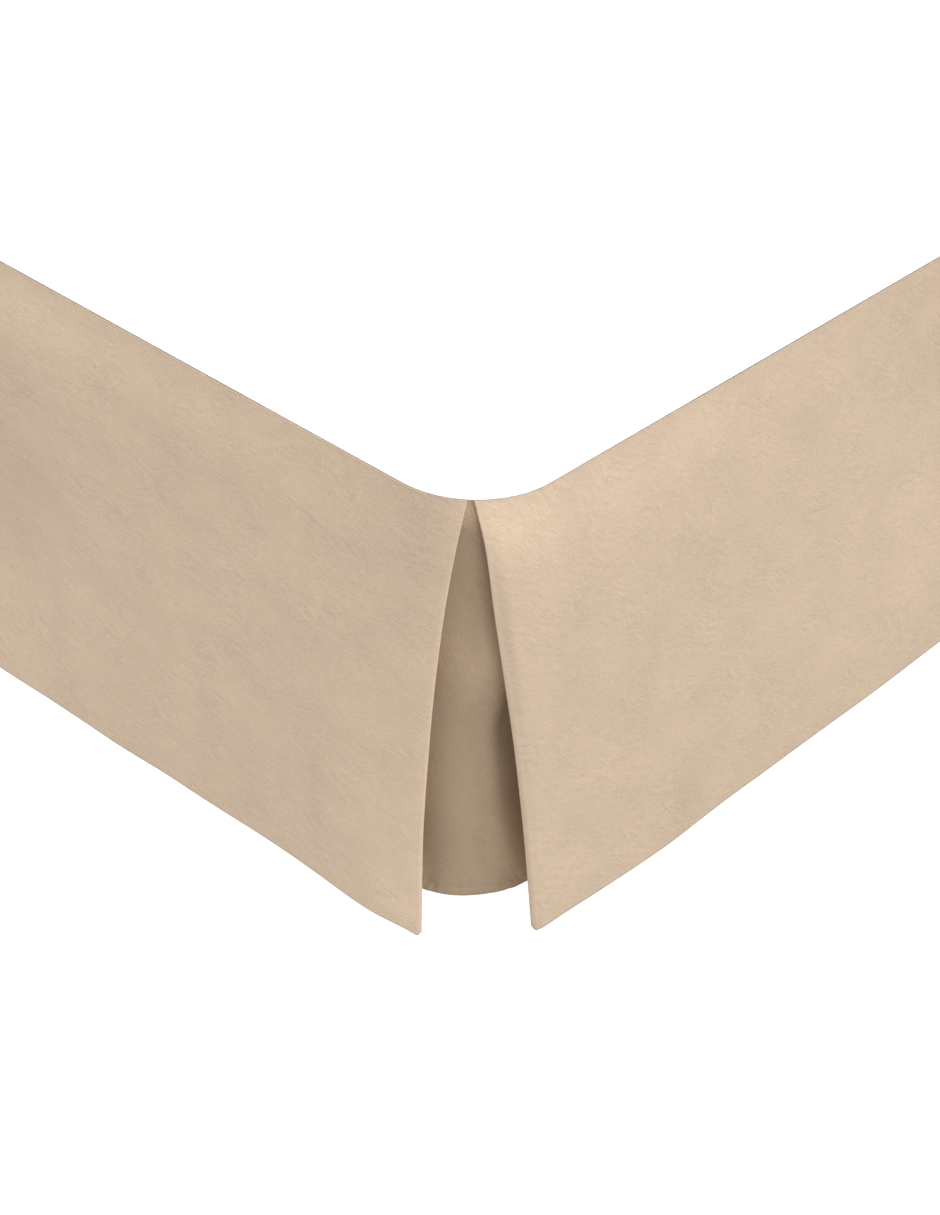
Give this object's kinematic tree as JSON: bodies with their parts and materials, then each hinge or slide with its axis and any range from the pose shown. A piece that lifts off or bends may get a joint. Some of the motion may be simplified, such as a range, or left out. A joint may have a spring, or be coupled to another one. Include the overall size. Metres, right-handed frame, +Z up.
{
  "type": "bed skirt on a bed base",
  "caption": "Tailored bed skirt with straight drops and open corner pleats, fitted over a plain low bed base on legs.",
  "frame": {"origin": "on the floor, under the middle of the bed", "axes": "+Z up, +Y from the foot of the bed to its head, +X to the right seen from the foot"},
  "size_m": [1.5316, 2.0352, 0.3972],
  "materials": {
    "skirt_cloth": "brushed matt, sand",
    "deck_cloth": "matt white plain weave",
    "base_cover": "matt off-white cover",
    "leg_wood": "dark stain, satin"
  },
  "bodies": {
    "root": {"deck_panel": "deck_cloth", "foot_drop": "skirt_cloth", "side_drop_right": "skirt_cloth", "side_drop_left": "skirt_cloth", "corner_underlay_right": "skirt_cloth", "corner_underlay_left": "skirt_cloth", "bed_base": "base_cover", "leg_foot_right": "leg_wood", "leg_foot_left": "leg_wood", "leg_middle_right": "leg_wood", "leg_middle_left": "leg_wood", "leg_head_right": "leg_wood", "leg_head_left": "leg_wood"}
  },
  "joints": []
}
